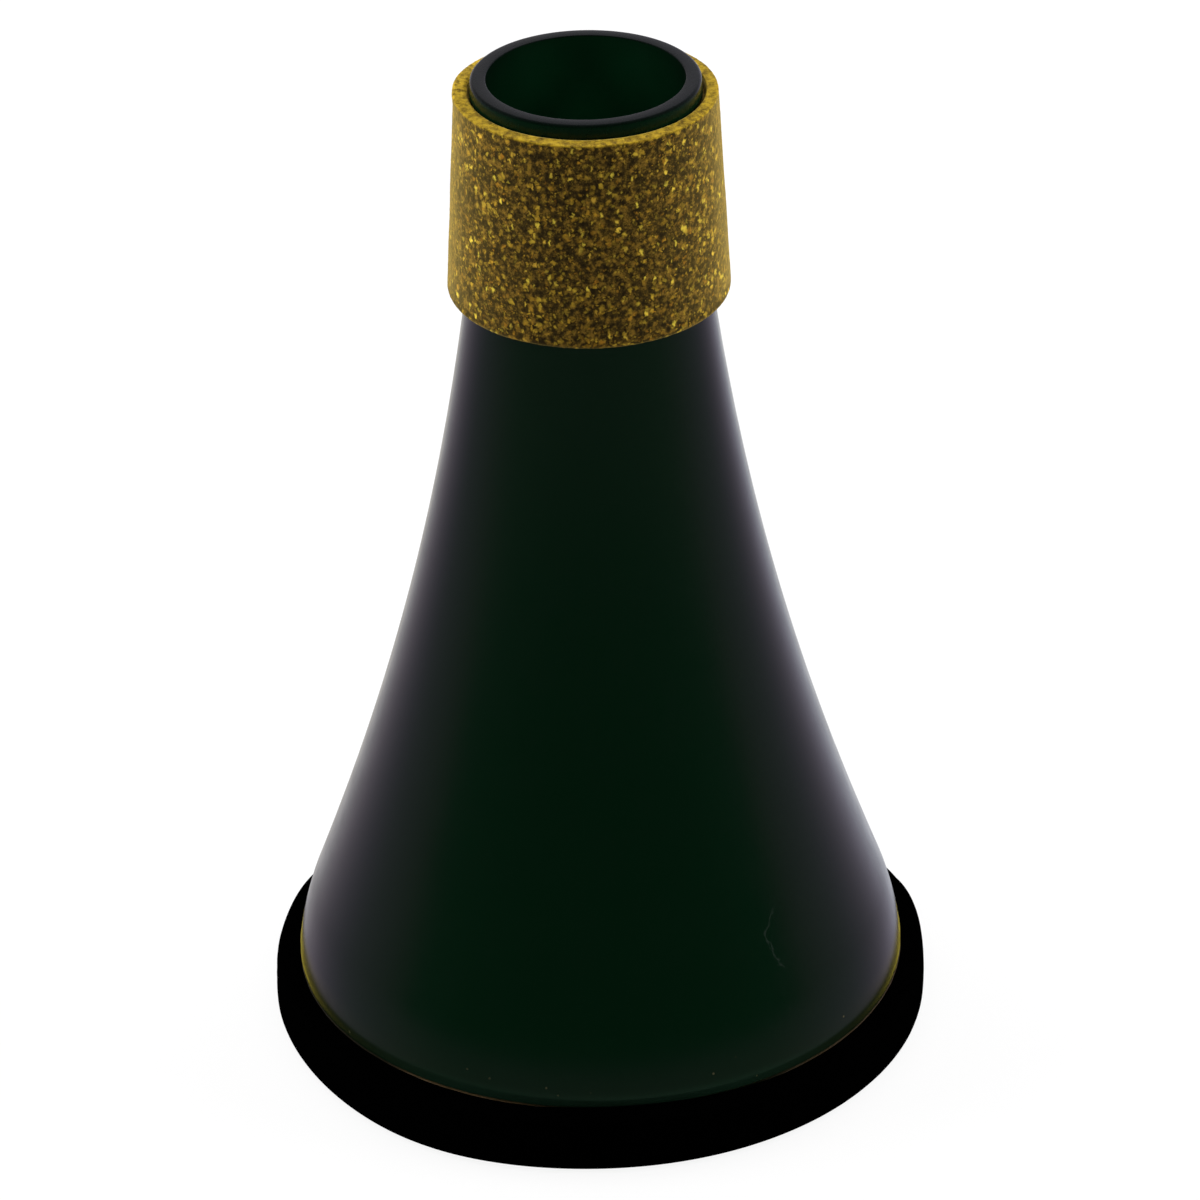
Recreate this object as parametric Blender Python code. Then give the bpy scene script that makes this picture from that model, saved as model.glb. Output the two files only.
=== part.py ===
"""Practice mute for a piccolo trumpet, standing on its foam pad.

The mute is a hollow turned body. Its tapered neck carries a cork sleeve that wedges in the bell.
Its wide foot is closed by a moulded plate, and a thick foam pad is bonded under that plate.
Air leaves the chamber through a narrow tube in the middle of the plate.

Lengths are in metres. The origin is the middle of the pad's underside, and +Z runs to the mouth.
"""

from math import cos, hypot, pi, radians, sin

import bmesh
import bpy
from mathutils import Matrix, Vector
from mathutils.geometry import interpolate_bezier

MM = 0.001

# Space left between two pieces that touch on the real mute
CLEARANCE = 0.3 * MM

# Foam pad and the adhesive film above it
PAD_OVERHANG = 3.05 * MM
PAD_THICKNESS = 6.2 * MM
PAD_EDGE_ROUND = 1.1 * MM
PAD_VENT_RADIUS = 2.5 * MM
FILM_THICKNESS = 0.3 * MM
FILM_PROUD = 0.2 * MM
FILM_VENT_MARGIN = 0.6 * MM

# Shell: a straight lip, a shoulder arc, a flare and a tapered neck, measured up from the foot
SHELL_WALL = 2.1 * MM
FOOT_RADIUS = 37.4 * MM
FOOT_CHAMFER = 0.25 * MM
LIP_HEIGHT = 1.3 * MM
LIP_WALL = 1.4 * MM
SHOULDER_INSET = 2.0 * MM
SHOULDER_HEIGHT = 9.3 * MM
FLARE_HEIGHT = 91.1 * MM
NECK_RADIUS = 14.5 * MM
NECK_LENGTH = 26.9 * MM
MOUTH_RADIUS = 13.4 * MM
MOUTH_EDGE_ROUND = 0.45 * MM

# How far each curve leans in from upright where it starts and ends, and how long it holds that
# lean, as a share of the straight line between its ends
SHOULDER_START_LEAN = radians(7.7)
SHOULDER_END_LEAN = radians(20.7)
SHOULDER_PULLS = (0.32, 0.32)
FLARE_END_LEAN = radians(7.6)
FLARE_PULLS = (0.27, 0.415)

# Cork sleeve on the neck
CORK_BELOW_MOUTH = 1.6 * MM
CORK_TOP_THICKNESS = 1.8 * MM
CORK_BOTTOM_THICKNESS = 2.15 * MM
CORK_BOTTOM_ROUND = 0.8 * MM
CORK_TOP_CHAMFER = 0.25 * MM

# Base plate, with a boss for the tube and ribs that carry the damping ring
PLATE_THICKNESS = 2.0 * MM
PLATE_WEB = 1.0 * MM
BOSS_WALL = 1.7 * MM
BOSS_HEIGHT = 9.0 * MM
RIB_COUNT = 6
RIB_THICKNESS = 1.2 * MM
RIB_HEIGHT = 2.5 * MM
RIB_SINK = 0.5 * MM
RIB_END_GAP = 1.2 * MM

# Air tube
TUBE_BORE_RADIUS = 2.2 * MM
TUBE_WALL = 1.0 * MM
TUBE_LENGTH = 58.0 * MM
TUBE_EDGE_CHAMFER = 0.3 * MM

# Damping ring
RING_THICKNESS = 8.0 * MM
RING_SIDE_GAP = 1.5 * MM

# Facets round the axis, and along the curves of an outline
SHELL_STEPS = 72
SMALL_STEPS = 32
SHOULDER_FACETS = 4
FLARE_FACETS = 12
EDGE_FACETS = 3

# Points of a turned outline nearer than this are one point
MERGE_DISTANCE = 0.001 * MM
SHARP_ANGLE = radians(30.0)

# Heights above the table, worked out from the sizes above
FILM_BOTTOM = PAD_THICKNESS + CLEARANCE
FOOT_Z = FILM_BOTTOM + FILM_THICKNESS + CLEARANCE
PLATE_TOP = FOOT_Z + PLATE_THICKNESS
LEDGE_Z = PLATE_TOP + CLEARANCE
RIB_TOP = PLATE_TOP + RIB_HEIGHT
RING_BOTTOM = RIB_TOP + CLEARANCE
RING_TOP = RING_BOTTOM + RING_THICKNESS
TUBE_BOTTOM = FOOT_Z + PLATE_WEB + CLEARANCE
NECK_Z = FOOT_Z + FLARE_HEIGHT
MOUTH_Z = NECK_Z + NECK_LENGTH
CORK_TOP_Z = MOUTH_Z - CORK_BELOW_MOUTH

# Radii worked out from the sizes above
PAD_RADIUS = FOOT_RADIUS + PAD_OVERHANG
REBATE_RADIUS = FOOT_RADIUS - LIP_WALL
PLATE_RADIUS = REBATE_RADIUS - CLEARANCE
TUBE_RADIUS = TUBE_BORE_RADIUS + TUBE_WALL
SOCKET_RADIUS = TUBE_RADIUS + CLEARANCE
BOSS_RADIUS = SOCKET_RADIUS + BOSS_WALL
RING_BORE = BOSS_RADIUS + CLEARANCE


def clear_scene():
    """Remove everything that the open file holds."""
    for thing in list(bpy.data.objects):
        bpy.data.objects.remove(thing, do_unlink=True)


def material(name, colour, roughness, metallic=0.0):
    """A plain Principled material."""
    made = bpy.data.materials.new(name)
    made.use_nodes = True
    shader = made.node_tree.nodes["Principled BSDF"]
    shader.inputs["Base Color"].default_value = (*colour, 1.0)
    shader.inputs["Roughness"].default_value = roughness
    shader.inputs["Metallic"].default_value = metallic
    made.diffuse_color = (*colour, 1.0)
    return made


def finish_mesh(name, shape, look):
    """Turn a bmesh into a named, smooth-shaded object."""
    bmesh.ops.recalc_face_normals(shape, faces=shape.faces)
    mesh = bpy.data.meshes.new(name)
    shape.to_mesh(mesh)
    shape.free()
    mesh.shade_smooth()
    mesh.set_sharp_from_angle(angle=SHARP_ANGLE)
    mesh.materials.append(look)
    piece = bpy.data.objects.new(name, mesh)
    bpy.context.scene.collection.objects.link(piece)
    return piece


def turned(name, outline, steps, look):
    """Turn a closed outline of (radius, height) points once round the Z axis."""
    shape = bmesh.new()
    points = [shape.verts.new((radius, 0.0, height)) for radius, height in outline]
    loop = [shape.edges.new((a, b)) for a, b in zip(points, points[1:] + points[:1])]
    bmesh.ops.spin(
        shape,
        geom=points + loop,
        axis=(0.0, 0.0, 1.0),
        cent=(0.0, 0.0, 0.0),
        angle=2.0 * pi,
        steps=steps,
        use_merge=True,
    )
    bmesh.ops.remove_doubles(shape, verts=shape.verts, dist=MERGE_DISTANCE)
    return finish_mesh(name, shape, look)


def arc(centre, radius, start, end):
    """Points on a circular arc, its angles measured from +radius towards +height."""
    middle_r, middle_z = centre
    angles = [start + (end - start) * i / EDGE_FACETS for i in range(EDGE_FACETS + 1)]
    return [(middle_r + radius * cos(a), middle_z + radius * sin(a)) for a in angles]


def curve(start, start_lean, end, end_lean, pulls, steps):
    """A smooth rising curve that leans towards the axis by the two angles at its ends."""
    low = Vector((*start, 0.0))
    high = Vector((*end, 0.0))
    span = (high - low).length
    low_pull = Vector((-sin(start_lean), cos(start_lean), 0.0)) * span * pulls[0]
    high_pull = Vector((-sin(end_lean), cos(end_lean), 0.0)) * span * pulls[1]
    points = interpolate_bezier(low, low + low_pull, high - high_pull, high, steps + 1)
    return [(point.x, point.y) for point in points]


def shell_outside():
    """The shell's outer line, from the top of the lip up to where the mouth's edge rounds."""
    lip_top = (FOOT_RADIUS, FOOT_Z + LIP_HEIGHT)
    shoulder = (FOOT_RADIUS - SHOULDER_INSET, FOOT_Z + SHOULDER_HEIGHT)
    neck = (NECK_RADIUS, NECK_Z)
    leans = (SHOULDER_START_LEAN, SHOULDER_END_LEAN, FLARE_END_LEAN)
    line = curve(lip_top, leans[0], shoulder, leans[1], SHOULDER_PULLS, SHOULDER_FACETS)
    line += curve(shoulder, leans[1], neck, leans[2], FLARE_PULLS, FLARE_FACETS)[1:]
    line.append((MOUTH_RADIUS, MOUTH_Z - MOUTH_EDGE_ROUND))
    return line


def offset_inward(line, distance):
    """The same line moved square to itself, towards the axis."""
    moved = []
    for i, (radius, height) in enumerate(line):
        before = line[max(i - 1, 0)]
        after = line[min(i + 1, len(line) - 1)]
        run_r = after[0] - before[0]
        run_z = after[1] - before[1]
        length = hypot(run_r, run_z)
        moved.append((radius - distance * run_z / length, height + distance * run_r / length))
    return moved


def radius_at(line, height):
    """The radius of a rising line at a height, in a straight run between its points."""
    for (low_r, low_z), (high_r, high_z) in zip(line, line[1:]):
        if low_z <= height <= high_z:
            return low_r + (high_r - low_r) * (height - low_z) / (high_z - low_z)
    return line[0][0] if height < line[0][1] else line[-1][0]


def build_shell(look):
    """The hollow body: lip, shoulder, flare, neck and mouth, with a rebate for the plate."""
    outside = shell_outside()
    inside = offset_inward(outside, SHELL_WALL)
    bore = inside[-1][0]
    ledge = radius_at(inside, LEDGE_Z)
    rounding = MOUTH_EDGE_ROUND
    outline = [
        (REBATE_RADIUS, LEDGE_Z),
        (REBATE_RADIUS, FOOT_Z),
        (FOOT_RADIUS - FOOT_CHAMFER, FOOT_Z),
        (FOOT_RADIUS, FOOT_Z + FOOT_CHAMFER),
    ]
    outline += outside[:-1]
    outline += arc((MOUTH_RADIUS - rounding, MOUTH_Z - rounding), rounding, 0.0, pi / 2.0)
    outline += arc((bore + rounding, MOUTH_Z - rounding), rounding, pi / 2.0, pi)
    outline += [point for point in reversed(inside[:-1]) if point[1] > LEDGE_Z + CLEARANCE]
    outline.append((ledge, LEDGE_Z))
    return turned("body_shell", outline, SHELL_STEPS, look)


def build_cork(look):
    """The sleeve round the neck: its bore follows the neck, and its outside tapers more."""
    neck = shell_outside()
    levels = [NECK_Z, (NECK_Z + CORK_TOP_Z) / 2.0, CORK_TOP_Z]
    bore = [(radius_at(neck, level) + CLEARANCE, level) for level in levels]
    bottom_radius = NECK_RADIUS + CORK_BOTTOM_THICKNESS
    top_radius = radius_at(neck, CORK_TOP_Z) + CORK_TOP_THICKNESS
    rounding = CORK_BOTTOM_ROUND
    chamfer = CORK_TOP_CHAMFER
    outline = arc((bottom_radius - rounding, NECK_Z + rounding), rounding, -pi / 2.0, 0.0)
    outline += [(top_radius, CORK_TOP_Z - chamfer), (top_radius - chamfer, CORK_TOP_Z)]
    outline += reversed(bore)
    return turned("cork_sleeve", outline, SHELL_STEPS, look)


def add_ribs(plate):
    """Join the radial ribs to the plate, from inside the boss's wall to short of the shell."""
    shell = offset_inward(shell_outside(), SHELL_WALL)
    start = BOSS_RADIUS - BOSS_WALL / 2.0
    end = radius_at(shell, RIB_TOP) - RIB_END_GAP
    bottom = PLATE_TOP - RIB_SINK
    for i in range(RIB_COUNT):
        shape = bmesh.new()
        bmesh.ops.create_cube(shape, size=1.0)
        size = Matrix.Diagonal((end - start, RIB_THICKNESS, RIB_TOP - bottom, 1.0))
        place = Matrix.Translation(((start + end) / 2.0, 0.0, (bottom + RIB_TOP) / 2.0))
        turn = Matrix.Rotation(2.0 * pi * i / RIB_COUNT, 4, "Z")
        bmesh.ops.transform(shape, matrix=turn @ place @ size, verts=shape.verts)
        rib = finish_mesh(f"rib_guide_{i}", shape, plate.data.materials[0])
        rib.hide_render = True
        rib.display_type = "WIRE"
        join = plate.modifiers.new(f"rib_{i}", "BOOLEAN")
        join.operation = "UNION"
        join.object = rib


def build_plate(look):
    """The plate that closes the foot, with its vent hole, tube socket and boss."""
    socket_floor = FOOT_Z + PLATE_WEB
    outline = [
        (TUBE_BORE_RADIUS, FOOT_Z),
        (PLATE_RADIUS, FOOT_Z),
        (PLATE_RADIUS, PLATE_TOP),
        (BOSS_RADIUS, PLATE_TOP),
        (BOSS_RADIUS, FOOT_Z + BOSS_HEIGHT),
        (SOCKET_RADIUS, FOOT_Z + BOSS_HEIGHT),
        (SOCKET_RADIUS, socket_floor),
        (TUBE_BORE_RADIUS, socket_floor),
    ]
    plate = turned("base_plate", outline, SHELL_STEPS, look)
    add_ribs(plate)
    return plate


def build_tube(look):
    """The air tube, which stands in the plate's socket."""
    top = TUBE_BOTTOM + TUBE_LENGTH
    chamfer = TUBE_EDGE_CHAMFER
    outline = [
        (TUBE_BORE_RADIUS, TUBE_BOTTOM),
        (TUBE_RADIUS - chamfer, TUBE_BOTTOM),
        (TUBE_RADIUS, TUBE_BOTTOM + chamfer),
        (TUBE_RADIUS, top - chamfer),
        (TUBE_RADIUS - chamfer, top),
        (TUBE_BORE_RADIUS, top),
    ]
    return turned("vent_tube", outline, SMALL_STEPS, look)


def build_ring(look):
    """The foam ring that lies on the ribs and damps the chamber."""
    shell = offset_inward(shell_outside(), SHELL_WALL)
    outer = radius_at(shell, RING_TOP) - RING_SIDE_GAP
    outline = [(RING_BORE, RING_BOTTOM), (outer, RING_BOTTOM), (outer, RING_TOP), (RING_BORE, RING_TOP)]
    return turned("damping_ring", outline, SMALL_STEPS, look)


def build_film(look):
    """The adhesive film between the foot and the pad, whose edge shows as a thin line."""
    hole = PAD_VENT_RADIUS + FILM_VENT_MARGIN
    outer = FOOT_RADIUS + FILM_PROUD
    top = FILM_BOTTOM + FILM_THICKNESS
    outline = [(hole, FILM_BOTTOM), (outer, FILM_BOTTOM), (outer, top), (hole, top)]
    return turned("pad_film", outline, SHELL_STEPS, look)


def build_pad(look):
    """The thick foam disc that the mute stands on."""
    rounding = PAD_EDGE_ROUND
    corner = PAD_RADIUS - rounding
    outline = [(PAD_VENT_RADIUS, PAD_THICKNESS), (PAD_VENT_RADIUS, 0.0)]
    outline += arc((corner, rounding), rounding, -pi / 2.0, 0.0)
    outline += arc((corner, PAD_THICKNESS - rounding), rounding, 0.0, pi / 2.0)
    return turned("base_pad", outline, SHELL_STEPS, look)


def main():
    clear_scene()
    build_shell(material("shell_plastic", (0.004, 0.010, 0.006), 0.28))
    build_cork(material("cork", (0.093, 0.054, 0.009), 0.85))
    build_plate(material("plate_plastic", (0.006, 0.007, 0.006), 0.45))
    build_tube(material("tube_plastic", (0.010, 0.010, 0.010), 0.40))
    build_ring(material("damping_foam", (0.030, 0.030, 0.032), 0.95))
    build_film(material("adhesive_film", (0.040, 0.026, 0.010), 0.50))
    build_pad(material("pad_foam", (0.0015, 0.0015, 0.0015), 0.95))


main()
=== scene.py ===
from math import atan2, cos, hypot, pi, radians, sin

import bmesh
import bpy
import numpy as np
from mathutils import Matrix, Vector, noise
from mathutils.geometry import interpolate_bezier


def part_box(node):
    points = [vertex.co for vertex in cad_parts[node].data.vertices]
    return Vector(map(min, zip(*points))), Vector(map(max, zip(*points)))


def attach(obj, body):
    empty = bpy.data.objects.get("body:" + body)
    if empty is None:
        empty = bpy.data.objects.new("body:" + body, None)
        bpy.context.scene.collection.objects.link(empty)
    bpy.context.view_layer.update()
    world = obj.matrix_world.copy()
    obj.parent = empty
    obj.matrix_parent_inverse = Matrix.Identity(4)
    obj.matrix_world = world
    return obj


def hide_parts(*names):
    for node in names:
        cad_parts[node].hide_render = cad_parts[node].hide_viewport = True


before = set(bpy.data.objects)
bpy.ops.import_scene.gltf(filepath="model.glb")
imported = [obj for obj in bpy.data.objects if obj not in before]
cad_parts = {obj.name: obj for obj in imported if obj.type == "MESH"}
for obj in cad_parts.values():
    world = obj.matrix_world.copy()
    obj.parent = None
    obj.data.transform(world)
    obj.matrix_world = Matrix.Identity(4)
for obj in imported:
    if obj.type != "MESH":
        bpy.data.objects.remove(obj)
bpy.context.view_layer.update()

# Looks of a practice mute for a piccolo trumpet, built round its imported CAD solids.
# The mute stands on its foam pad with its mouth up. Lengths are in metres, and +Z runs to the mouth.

MM = 0.001
BODY = "root"

# ---------------------------------------------------------------- Sizes taken from the CAD solids

SHELL_LOW, SHELL_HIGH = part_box("body_shell")
CORK_LOW, CORK_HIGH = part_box("cork_sleeve")
PAD_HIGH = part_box("base_pad")[1]
TUBE_LOW, TUBE_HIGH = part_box("vent_tube")
RING_LOW, RING_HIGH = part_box("damping_ring")

FOOT_Z = SHELL_LOW.z
MOUTH_Z = SHELL_HIGH.z
FOOT_RADIUS = SHELL_HIGH.x
CORK_BOTTOM_Z = CORK_LOW.z
CORK_TOP_Z = CORK_HIGH.z
CORK_BOTTOM_RADIUS = CORK_HIGH.x
PAD_RADIUS = PAD_HIGH.x
TUBE_RADIUS = TUBE_HIGH.x
RING_RADIUS = RING_HIGH.x

# ---------------------------------------------------------------- The shell's outline, as in the CAD

SHELL_WALL = 2.1 * MM
FOOT_CHAMFER = 0.25 * MM
LIP_HEIGHT = 1.3 * MM
LIP_WALL = 1.4 * MM
LEDGE_ABOVE_FOOT = 2.3 * MM
HOLLOW_ABOVE_LEDGE = 0.3 * MM
SHOULDER_INSET = 2.0 * MM
SHOULDER_HEIGHT = 9.3 * MM
NECK_RADIUS = 14.5 * MM
MOUTH_RADIUS = 13.4 * MM
MOUTH_WALL = 1.85 * MM
MOUTH_THINNING = 9.0 * MM
MOUTH_OUTER_ROUND = 0.40 * MM
MOUTH_INNER_ROUND = 0.15 * MM
RUBBED_BELOW_CORK_TOP = 2.0 * MM
SHOULDER_START_LEAN = radians(7.7)
SHOULDER_END_LEAN = radians(20.7)
SHOULDER_PULLS = (0.32, 0.32)
FLARE_END_LEAN = radians(7.6)
FLARE_PULLS = (0.27, 0.415)

# ---------------------------------------------------------------- The other pieces

CORK_GAP = 0.02 * MM
CORK_TOP_THICKNESS = 1.9 * MM
CORK_BOTTOM_ROUND = 0.8 * MM
CORK_TOP_ROUND = 0.18 * MM
CORK_SANDED_OFF = 0.03 * MM
CORK_BORE_SKIN = 0.3 * MM
CORK_BURR_HEIGHT = 1.1 * MM
GROOVE_WIDTH = 0.24 * MM
GROOVE_SLANT = 0.20 * MM
GROOVE_SLANT_ANGLE = radians(8.0)
GROOVE_DEPTH = 1.1 * MM
PAD_VISIBLE_TOP = 7.02 * MM
PAD_TILT = 0.30 * MM
PAD_VENT_RADIUS = 2.5 * MM
PAD_VENT_CHAMFER = 0.3 * MM
PAD_TRUE_RADIUS = 6.0 * MM
PAD_LOW_ROUND = 1.1 * MM
PAD_HIGH_ROUND = 0.65 * MM
PAD_LOW_LEAN = 0.08 * MM
PAD_HIGH_LEAN = 0.26 * MM
PAD_FLAT_BELOW = 0.05 * MM
PAD_TOP_BAND = 0.2 * MM
PAD_RING_STEP = 0.5 * MM
SWELL_FROM_FOOT = 0.06 * MM
SWELL_RISE = 0.09 * MM
SWELL_FALL = 1.6 * MM
SWELL_FROM_EDGE = 0.6 * MM
FILM_PROUD = 0.03 * MM
FILM_EDGE_ROUND = 0.05 * MM
FILM_VENT_MARGIN = 0.6 * MM
FILM_WAVER = 0.05 * MM
TUBE_BORE_RADIUS = 2.2 * MM
TUBE_CHAMFER = 0.3 * MM
RING_BORE = 5.5 * MM
RING_ROUND = 0.9 * MM
NEAR = 0.1 * MM

# SWELL sizes are of the pad's foam that has swelled up round the front of the foot: how far from
# the foot it starts, how soon it is full, and where it has fallen again near the pad's edge.
# Points within NEAR of a height count as being there.

# Humps round the axis: how high each is, the angle of its middle, and how wide it spreads.
# The pad was cut by hand, so its edge reaches further out at some angles and less far at one.
CORK_BURR = (0.20 * MM, radians(168.0), radians(13.0))
PAD_REACHES = [
    (0.85 * MM, radians(-121.0), radians(15.0)),
    (0.60 * MM, radians(24.0), radians(11.0)),
    (0.18 * MM, radians(-177.0), radians(8.0)),
    (0.30 * MM, radians(158.0), radians(6.0)),
    (-0.14 * MM, radians(-50.0), radians(30.0)),
]
PAD_DROP = (1.50 * MM, radians(31.0), radians(7.5))
PAD_SWELL = (0.50 * MM, radians(-85.0), radians(17.0))

# The scratch: its angles from the front towards +X, its heights in millimetres, and its line,
# which says how far between the two angles it is at each share of the height
SCRATCH_ANGLES = (radians(37.0), radians(42.0))
SCRATCH_HEIGHTS = (19.3, 26.6)
SCRATCH_LINE = [
    (0.00, 0.64), (0.13, 0.44), (0.28, 0.31), (0.44, 0.21),
    (0.63, 0.04), (0.69, 0.12), (0.78, 0.32), (1.00, 0.80),
]

# The cork's colours, each with its place on a ramp; its grains by cells per millimetre, share of
# the cells and strength; and its flakes by turn and move
CORK_GROUND = [
    (0.38, (0.009, 0.0060, 0.0028)),
    (0.50, (0.034, 0.0210, 0.0050)),
    (0.64, (0.190, 0.1080, 0.0150)),
]
# The cut top face's ramp is paler than the ground: partly the cut cork, partly painted light from
# above.
CORK_CUT_AND_TOP_LIGHT = [(0.38, (0.090, 0.050, 0.005)), (0.60, (0.45, 0.300, 0.017))]
CORK_GRAINS = [(2.3, 0.55, 0.70), (1.25, 0.50, 0.90)]
CORK_GRAIN_TONES = [
    (0.0, (0.360, 0.158, 0.013)),
    (0.4, (0.460, 0.265, 0.021)),
    (1.0, (0.560, 0.390, 0.035)),
]
CORK_FLAKES = [((0.5, 0.3, 0.6), 0.0), ((-0.6, 0.9, -0.9), 31.0)]
CORK_FLAKE_TONES = [(0.0, (0.64, 0.38, 0.04)), (1.0, (0.92, 0.72, 0.07))]

# ---------------------------------------------------------------- Fineness of the meshes

SHELL_STEPS = 256
CORK_STEPS = 600
PAD_STEPS = 288
RING_STEPS = 192
TUBE_STEPS = 96
SHARP_ANGLE = radians(35.0)

# ---------------------------------------------------------------- The camera, fitted to the photograph

CAMERA_PLACE = Vector((0.0, -619.8, 409.1)) * MM
CAMERA_YAW = radians(0.060)
CAMERA_PITCH = radians(29.686)
CAMERA_ROLL = radians(-0.958)
CAMERA_LENS = 177.06
CAMERA_SENSOR = 36.0


# ---------------------------------------------------------------- Outlines of (radius, height)

def curve(start, start_lean, end, end_lean, pulls, steps):
    """A smooth rising curve that leans towards the axis by the two angles at its ends."""
    low = Vector((*start, 0.0))
    high = Vector((*end, 0.0))
    span = (high - low).length
    low_pull = Vector((-sin(start_lean), cos(start_lean), 0.0)) * span * pulls[0]
    high_pull = Vector((-sin(end_lean), cos(end_lean), 0.0)) * span * pulls[1]
    points = interpolate_bezier(low, low + low_pull, high - high_pull, high, steps + 1)
    return [(point.x, point.y) for point in points]


def arc(centre, radius, start, end, steps=6):
    """Points on a circular arc, its angles measured from +radius towards +height."""
    angles = [start + (end - start) * i / steps for i in range(steps + 1)]
    return [(centre[0] + radius * cos(a), centre[1] + radius * sin(a)) for a in angles]


def straight(start, end, steps):
    """Points spread evenly from start to just before end."""
    return [
        (start[0] + (end[0] - start[0]) * i / steps, start[1] + (end[1] - start[1]) * i / steps)
        for i in range(steps)
    ]


def shell_outside():
    """The shell's outer line, from the top of the lip up to where the mouth's edge rounds."""
    lip_top = (FOOT_RADIUS, FOOT_Z + LIP_HEIGHT)
    shoulder = (FOOT_RADIUS - SHOULDER_INSET, FOOT_Z + SHOULDER_HEIGHT)
    neck = (NECK_RADIUS, CORK_BOTTOM_Z)
    mouth = (MOUTH_RADIUS, MOUTH_Z - MOUTH_OUTER_ROUND)
    leans = (SHOULDER_START_LEAN, SHOULDER_END_LEAN, FLARE_END_LEAN)
    line = curve(lip_top, leans[0], shoulder, leans[1], SHOULDER_PULLS, 14)
    line += curve(shoulder, leans[1], neck, leans[2], FLARE_PULLS, 72)[1:-1]
    line += straight(neck, mouth, 18) + [mouth]
    return line


def wall_at(height):
    """The shell's wall, which thins towards the mouth."""
    share = min(1.0, max(0.0, (height - MOUTH_Z + MOUTH_THINNING) / MOUTH_THINNING))
    return SHELL_WALL + (MOUTH_WALL - SHELL_WALL) * share


def shell_hollow(line):
    """The outer line moved square to itself by the wall, towards the axis."""
    moved = []
    for i, (radius, height) in enumerate(line):
        distance = wall_at(height)
        before = line[max(i - 1, 0)]
        after = line[min(i + 1, len(line) - 1)]
        run_r = after[0] - before[0]
        run_z = after[1] - before[1]
        length = hypot(run_r, run_z)
        moved.append((radius - distance * run_z / length, height + distance * run_r / length))
    return moved


def radius_at(line, height):
    """The radius of a rising line at a height, in a straight run between its points."""
    for (low_r, low_z), (high_r, high_z) in zip(line, line[1:]):
        if low_z <= height <= high_z:
            return low_r + (high_r - low_r) * (height - low_z) / (high_z - low_z)
    return line[0][0] if height < line[0][1] else line[-1][0]


# ---------------------------------------------------------------- Meshes

def revolve(outline, steps):
    """Points of a closed outline turned round the Z axis, as an array of rings by steps by 3."""
    ring = np.array(outline, float)
    angles = np.arange(steps) * 2.0 * pi / steps
    points = np.empty((len(ring), steps, 3))
    points[:, :, 0] = ring[:, :1] * np.cos(angles)
    points[:, :, 1] = ring[:, :1] * np.sin(angles)
    points[:, :, 2] = ring[:, 1:]
    return points


def ring_faces(rings, steps):
    """Quads that join each ring to the next, and the last ring to the first."""
    i, j = np.meshgrid(np.arange(rings), np.arange(steps), indexing="ij")
    up, on = (i + 1) % rings, (j + 1) % steps
    quads = np.stack([i * steps + j, i * steps + on, up * steps + on, up * steps + j], axis=-1)
    return quads.reshape(-1, 4)


def make_piece(name, points, looks, look_of_ring=None, sharp=None):
    """A smooth-shaded object from turned points. look_of_ring gives each ring's material index."""
    rings, steps = points.shape[:2]
    mesh = bpy.data.meshes.new(name)
    mesh.from_pydata(points.reshape(-1, 3).tolist(), [], ring_faces(rings, steps).tolist())
    for look in looks:
        mesh.materials.append(look)
    if look_of_ring is not None:
        mesh.polygons.foreach_set("material_index", np.repeat(look_of_ring, steps).astype(np.int32))
    shape = bmesh.new()
    shape.from_mesh(mesh)
    bmesh.ops.recalc_face_normals(shape, faces=shape.faces)
    shape.to_mesh(mesh)
    shape.free()
    mesh.shade_smooth()
    if sharp is not None:
        mesh.set_sharp_from_angle(angle=sharp)
    piece = bpy.data.objects.new(name, mesh)
    bpy.context.scene.collection.objects.link(piece)
    return piece


def dress(piece, node):
    """Put a piece on the frame in the place of its CAD node."""
    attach(piece, BODY)
    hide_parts(node)
    return piece


# ---------------------------------------------------------------- Node helpers

def put(tree, socket, value):
    """Set a socket, or link it where the value is another socket."""
    if isinstance(value, bpy.types.NodeSocket):
        tree.links.new(value, socket)
    else:
        socket.default_value = value


def node(tree, kind, inputs=None, **settings):
    """Add a node with its settings and inputs."""
    made = tree.nodes.new(kind)
    for key, value in settings.items():
        setattr(made, key, value)
    for key, value in (inputs or {}).items():
        put(tree, made.inputs[key], value)
    return made


def calc(tree, operation, *values):
    """The result of a math node."""
    return node(tree, "ShaderNodeMath", dict(enumerate(values)), operation=operation).outputs[0]


def blend_colours(tree, share, low, high, mode="MIX"):
    """The result of mixing two colours."""
    made = node(tree, "ShaderNodeMix", data_type="RGBA", blend_type=mode)
    for index, value in ((0, share), (6, low), (7, high)):
        put(tree, made.inputs[index], value)
    return made.outputs[2]


def fit_range(tree, value, low, high, to_low=0.0, to_high=1.0, smooth=False):
    """The value moved from one range to another, and held inside it."""
    kind = "SMOOTHSTEP" if smooth else "LINEAR"
    inputs = {0: value, 1: low, 2: high, 3: to_low, 4: to_high}
    return node(tree, "ShaderNodeMapRange", inputs, interpolation_type=kind).outputs[0]


def product(tree, *values):
    """All the values multiplied."""
    total = values[0]
    for value in values[1:]:
        total = calc(tree, "MULTIPLY", total, value)
    return total


def ramp(tree, value, stops):
    """A colour ramp through the stops of (place, colour)."""
    made = node(tree, "ShaderNodeValToRGB", {0: value})
    elements = made.color_ramp.elements
    while len(elements) < len(stops):
        elements.new(1.0)
    for element, (place, colour) in zip(elements, stops):
        element.position = place
        element.color = (*colour, 1.0)
    return made.outputs[0]


def vector_calc(tree, operation, values):
    """The result of a vector math node."""
    return node(tree, "ShaderNodeVectorMath", values, operation=operation).outputs[0]


def axes(tree, place):
    """The X, Y and Z of a place."""
    return tuple(node(tree, "ShaderNodeSeparateXYZ", {0: place}).outputs)


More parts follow.
